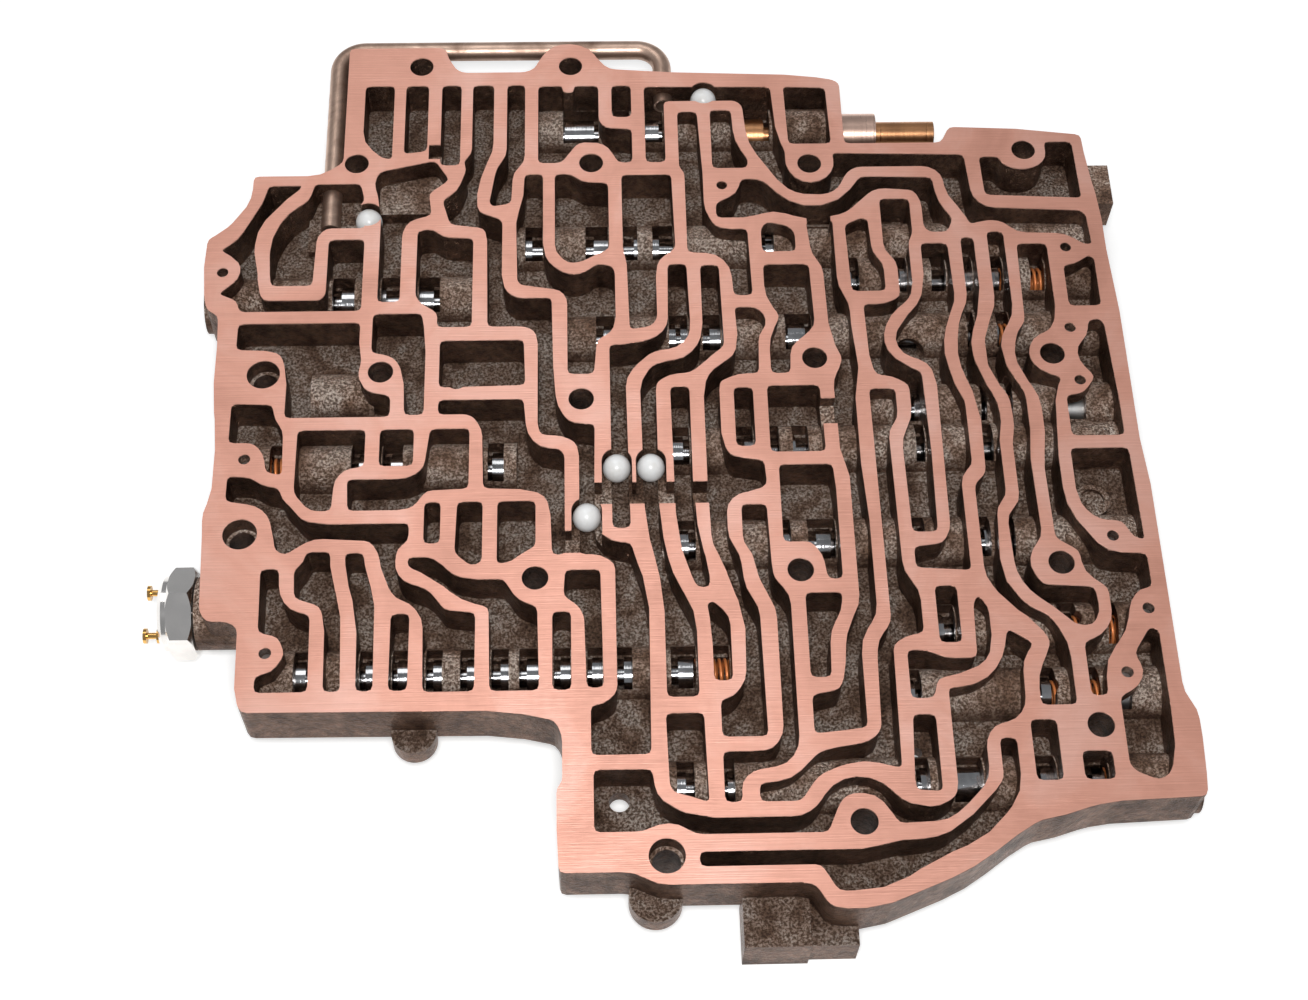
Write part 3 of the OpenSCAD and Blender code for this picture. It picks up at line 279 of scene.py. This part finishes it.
def cast_metal():
    """Casting: pinkish ground gasket face, brown cast skin elsewhere, with painted glints on its floors and
    painted shade on its walls and deep floors.
    """
    mat, tree, shader, coords = new_material("cast_metal", FACE_MIDDLE, 0.5, 0.4)
    shader.inputs["IOR"].default_value = 1.5
    shader.inputs["Specular IOR Level"].default_value = 0.5
    # Gloss drawn out along one axis, which makes the paler band over the ground face
    shader.inputs["Anisotropic"].default_value = 0.95
    across = tree.nodes.new("ShaderNodeCombineXYZ")
    across.inputs["Y"].default_value = 1.0
    tree.links.new(across.outputs["Vector"], shader.inputs["Tangent"])

    height_z = axis_value(tree, coords, "Z")
    upward = axis_value(tree, tree.nodes["Texture Coordinate"].outputs["Normal"], "Z")
    on_face = spread(tree, height_z, FACE_EDGE_LOW, FACE_EDGE_HIGH)
    painted_depth_shade = spread(tree, height_z, FLOOR_DEEP, HUMP_HIGH)
    on_floor = spread(tree, upward, WALL_UPWARD, FLOOR_UPWARD)
    blotch = noise(tree, coords, BLOTCH_SCALE, detail=6.0, rough=0.6, distortion=0.6)
    grime_and_glint_noise = noise(tree, coords, GRIME_AND_GLINT_SCALE, detail=6.0, rough=0.65, distortion=0.4)
    grain = noise(tree, coords, GRAIN_SCALE, detail=3.0, rough=0.7)
    glint_fleck_noise = noise(tree, coords, GRAIN_SCALE, detail=5.0, rough=0.75)
    pits = noise(tree, coords, PIT_SCALE, detail=5.0, rough=0.7)
    lines = noise(tree, stretched(tree, coords, LINE_STRETCH), 1.0, detail=3.0, rough=0.6)

    face = ramp(tree, blotch, [(0.28, FACE_DARK), (0.5, FACE_MIDDLE), (0.74, FACE_LIGHT)])
    face = blend(tree, spread(tree, lines, 0.35, 0.65), face, darker(tree, face, 0.9))
    skin = ramp(tree, grime_and_glint_noise, [(0.25, SKIN_DARK), (0.5, SKIN_MIDDLE), (0.78, SKIN_LIGHT)])
    skin = blend(tree, spread(tree, grain, 0.42, 0.58), darker(tree, skin, 0.34), skin)
    # Painted glints: near-white flecks on the floors, in patches, standing in for reflected light
    painted_glint_flecks = spread(tree, glint_fleck_noise, 0.48, 0.6)
    painted_glint_patches = spread(tree, grime_and_glint_noise, 0.4, 0.58)
    painted_glint = math_node(tree, "MULTIPLY", painted_glint_flecks, painted_glint_patches)
    painted_glint = math_node(tree, "MULTIPLY", painted_glint, on_floor)
    skin = blend(tree, painted_glint, skin, PAINTED_GLINT)
    # Painted shade: darker skin down on the deep floors, lighter up on the humps
    skin = blend(tree, painted_depth_shade, darker(tree, skin, 0.58), skin)
    # Painted shade: the walls take a much darker colour than the floors
    painted_shade_wall = ramp(tree, grime_and_glint_noise, [(0.3, WALL_PAINTED_SHADE_DARK), (0.7, WALL_PAINTED_SHADE_LIGHT)])
    painted_shade_wall = blend(tree, spread(tree, pits, 0.4, 0.6), darker(tree, painted_shade_wall, 0.5), painted_shade_wall)
    skin = blend(tree, on_floor, painted_shade_wall, skin)
    tree.links.new(blend(tree, on_face, skin, face), shader.inputs["Base Color"])

    rough_face = spread(tree, lines, 0.25, 0.75, 0.34, 0.44)
    rough_skin = spread(tree, grime_and_glint_noise, 0.2, 0.8, 0.42, 0.26)
    tree.links.new(choose(tree, on_face, rough_skin, rough_face), shader.inputs["Roughness"])
    metal_skin = spread(tree, math_node(tree, "ADD", on_floor, painted_glint), 0.0, 2.0, 0.95, 0.1)
    metal_face = spread(tree, lines, 0.0, 1.0, 0.25, 0.35)
    tree.links.new(choose(tree, on_face, metal_skin, metal_face), shader.inputs["Metallic"])
    rough_cast = math_node(tree, "ADD", math_node(tree, "MULTIPLY", grain, 0.7), pits)
    height = choose(tree, on_face, rough_cast, math_node(tree, "MULTIPLY", lines, 0.1))
    bump(tree, shader, height, strength=0.9, distance=1.8 * MM)
    return mat


def ground_metal(name, colour, roughness, stain, metallic=1.0):
    """Turned or ground metal with fine rings round X; stain is the brightness of its stains."""
    mat, tree, shader, coords = new_material(name, colour, metallic, roughness)
    rings = noise(tree, stretched(tree, coords, RING_STRETCH), 1.0, detail=2.0)
    cloud = noise(tree, coords, STAIN_SCALE)
    tone = ramp(tree, cloud, [(0.3, shade(colour, stain)), (0.65, colour)])
    tree.links.new(tone, shader.inputs["Base Color"])
    ringed = spread(tree, rings, 0.2, 0.8, roughness * 0.7, roughness * 1.3)
    tree.links.new(ringed, shader.inputs["Roughness"])
    bump(tree, shader, rings, strength=0.15, distance=0.2 * MM)
    return mat


def drawn_tube():
    """Drawn steel, warm and dull in spots."""
    mat, tree, shader, coords = new_material("tube_steel", TUBE_LIGHT, 0.9, 0.4)
    cloud = noise(tree, coords, TUBE_SCALE, detail=6.0, rough=0.65, distortion=0.5)
    tone = ramp(tree, cloud, [(0.3, TUBE_DARK), (0.6, TUBE_LIGHT)])
    tree.links.new(tone, shader.inputs["Base Color"])
    tree.links.new(spread(tree, cloud, 0.2, 0.8, 0.55, 0.3), shader.inputs["Roughness"])
    bump(tree, shader, cloud, strength=0.2, distance=0.4 * MM)
    return mat


def white_ball():
    """Smooth white ball, faintly soiled."""
    mat, tree, shader, coords = new_material("ball", BALL_CLEAN, 0.0, 0.28)
    cloud = noise(tree, coords, BALL_SCALE)
    tone = ramp(tree, cloud, [(0.25, BALL_SOILED), (0.55, BALL_CLEAN)])
    tree.links.new(tone, shader.inputs["Base Color"])
    bump(tree, shader, cloud, strength=0.05, distance=0.3 * MM)
    return mat


def plated_switch():
    """Bright plating on the switch's hexagon and cap, brass on its terminal studs."""
    mat, tree, shader, coords = new_material("plated", PLATING, 1.0, 0.14)
    stud_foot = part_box("switch_cap")[0].x + STUD_L
    along = axis_value(tree, coords, "X")
    on_stud = spread(tree, along, stud_foot, stud_foot + STUD_EDGE, 1.0, 0.0)
    cloud = noise(tree, coords, PLATE_SCALE)
    plate = ramp(tree, cloud, [(0.3, shade(PLATING, 0.85)), (0.65, PLATING)])
    brass = ramp(tree, cloud, [(0.3, shade(STUD_BRASS, 0.7)), (0.65, STUD_BRASS)])
    tree.links.new(blend(tree, on_stud, plate, brass), shader.inputs["Base Color"])
    tree.links.new(spread(tree, cloud, 0.2, 0.8, 0.2, 0.1), shader.inputs["Roughness"])
    bump(tree, shader, cloud, strength=0.1, distance=0.3 * MM)
    return mat


def pale_floor():
    """Matt floor, lifted to white for the camera and for reflections, which keeps the shadow."""
    mat, tree, shader, _ = new_material("floor", FLOOR_PALE, 0.0, 0.8)
    path = tree.nodes.new("ShaderNodeLightPath").outputs
    seen = math_node(tree, "MAXIMUM", path["Is Camera Ray"], path["Is Glossy Ray"])
    seen = math_node(tree, "MAXIMUM", seen, path["Is Transmission Ray"])
    shader.inputs["Emission Color"].default_value = (*WHITE, 1.0)
    lift = math_node(tree, "MULTIPLY", seen, FLOOR_LIFT)
    tree.links.new(lift, shader.inputs["Emission Strength"])
    return mat


def wire_mesh(name, start, reach, run, turns):
    """A closed round wire that winds round X from start; reach is the radius of its coil."""
    steps = turns * STEPS_PER_TURN
    points = []
    for i in range(steps + 1):
        along = Vector((run * i / steps, 0.0, 0.0))
        turn = Matrix.Rotation(2 * math.pi * i / STEPS_PER_TURN, 3, "X")
        for j in range(WIRE_SIDES):
            # The section lies in the plane of the axis and the radius, square to the wire
            angle = 2 * math.pi * j / WIRE_SIDES
            section = Vector((-WIRE_R * math.sin(angle), reach + WIRE_R * math.cos(angle), 0.0))
            points.append(start + along + turn @ section)
    last = steps * WIRE_SIDES
    faces = [tuple(reversed(range(WIRE_SIDES))), tuple(range(last, last + WIRE_SIDES))]
    for i in range(steps):
        for j in range(WIRE_SIDES):
            a = i * WIRE_SIDES + j
            b = i * WIRE_SIDES + (j + 1) % WIRE_SIDES
            faces.append((a, b, b + WIRE_SIDES, a + WIRE_SIDES))
    mesh = bpy.data.meshes.new(name)
    mesh.from_pydata(points, [], faces)
    mesh.shade_smooth()
    return mesh


def smooth_spring(node, finish):
    """A round-wire coil where a spring's node is."""
    low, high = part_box(node)
    middle = (low + high) / 2
    length = high.x - low.x
    run = length - 2 * WIRE_R
    turns = max(SPRING_TURNS, round(run / COIL_PITCH))
    reach = (high.y - low.y) / 2 - WIRE_R
    start = Vector((low.x + WIRE_R, middle.y, middle.z))
    mesh = wire_mesh(node + "_wire", start, reach, run, turns)
    mesh.materials.append(finish)
    wire = bpy.data.objects.new(node + "_wire", mesh)
    bpy.context.scene.collection.objects.link(wire)
    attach(wire, BODY)
    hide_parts(node)
    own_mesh(wire)


def photo_camera():
    """The camera that took the photograph, level before its roll."""
    forward = Vector((
        math.sin(TURN) * math.cos(DIP),
        math.cos(TURN) * math.cos(DIP),
        -math.sin(DIP),
    ))
    level = Vector((math.cos(TURN), -math.sin(TURN), 0.0))
    up = level.cross(forward)
    right = math.cos(ROLL) * level + math.sin(ROLL) * up
    head = -math.sin(ROLL) * level + math.cos(ROLL) * up
    data = bpy.data.cameras.new("camera")
    data.sensor_fit = "HORIZONTAL"
    data.sensor_width = SENSOR_W
    data.lens = FOCAL_PX / IMAGE_W * SENSOR_W
    data.clip_start = CLIP_START
    camera = bpy.data.objects.new("camera", data)
    bpy.context.scene.collection.objects.link(camera)
    facing = Matrix((right, head, -forward)).transposed().to_4x4()
    camera.matrix_world = Matrix.Translation(CAMERA_AT) @ facing
    bpy.context.scene.camera = camera


def studio_floor(level_z):
    """A wide pale floor just under the feet."""
    bm = bmesh.new()
    bmesh.ops.create_grid(bm, x_segments=1, y_segments=1, size=FLOOR_HALF)
    bmesh.ops.translate(bm, verts=bm.verts, vec=(0.0, 0.0, level_z - FLOOR_GAP))
    mesh = bpy.data.meshes.new("floor")
    bm.to_mesh(mesh)
    bm.free()
    mesh.materials.append(pale_floor())
    floor = bpy.data.objects.new("floor", mesh)
    bpy.context.scene.collection.objects.link(floor)


def studio_sky():
    """Even light from all round, brighter where the camera sees it behind the floor."""
    world = bpy.data.worlds.new("studio")
    bpy.context.scene.world = world
    world.use_nodes = True
    tree = world.node_tree
    sky = tree.nodes["Background"].inputs
    sky["Color"].default_value = (*SKY_PALE, 1.0)
    seen = tree.nodes.new("ShaderNodeLightPath").outputs["Is Camera Ray"]
    tree.links.new(spread(tree, seen, 0.0, 1.0, SKY_LIGHT, SKY_SEEN), sky["Strength"])


def soft_lamp(name, place, size, power):
    """A square lamp that faces the middle of the part."""
    data = bpy.data.lights.new(name, "AREA")
    data.size = size
    data.energy = power
    lamp = bpy.data.objects.new(name, data)
    bpy.context.scene.collection.objects.link(lamp)
    lamp.location = place
    lamp.rotation_euler = (-Vector(place)).to_track_quat("-Z", "Y").to_euler()


FINISH = {
    "cast_metal": cast_metal(),
    "ball": white_ball(),
    "tube_steel": drawn_tube(),
    "plated": plated_switch(),
    "spring_wire": ground_metal(
        "spring_wire", SPRING_COPPER, roughness=0.3, stain=0.75, metallic=0.3,
    ),
    "brass_like": ground_metal("brass_like", PLUNGER_BRASS, roughness=0.34, stain=0.7),
    "plug_metal": ground_metal("plug_metal", PLUG_STEEL, roughness=0.36, stain=0.7),
    "valve_metal": ground_metal("valve_metal", VALVE_STEEL, roughness=0.13, stain=0.55),
}
# The sleeve shares the plunger's slot and is paler in the photograph
OWN_FINISH = {
    "plunger_sleeve": ground_metal("pale_sleeve", SLEEVE_PALE, roughness=0.32, stain=0.85),
}

for part in frame["record"]["subparts"]:
    mesh = frame["nodes"][part["node"]].data
    mesh.materials.clear()
    mesh.materials.append(OWN_FINISH.get(part["node"], FINISH[part["material_slot"]]))

for joint in frame["joints"]:
    for spring in joint.get("deforming_nodes") or []:
        smooth_spring(spring["node"], FINISH["spring_wire"])

photo_camera()
studio_floor(cad_box[0][2])
studio_sky()
soft_lamp("key", KEY_AT, KEY_SIZE, KEY_POWER)
soft_lamp("top", TOP_AT, TOP_SIZE, TOP_POWER)
bpy.context.scene.view_settings.view_transform = "Standard"
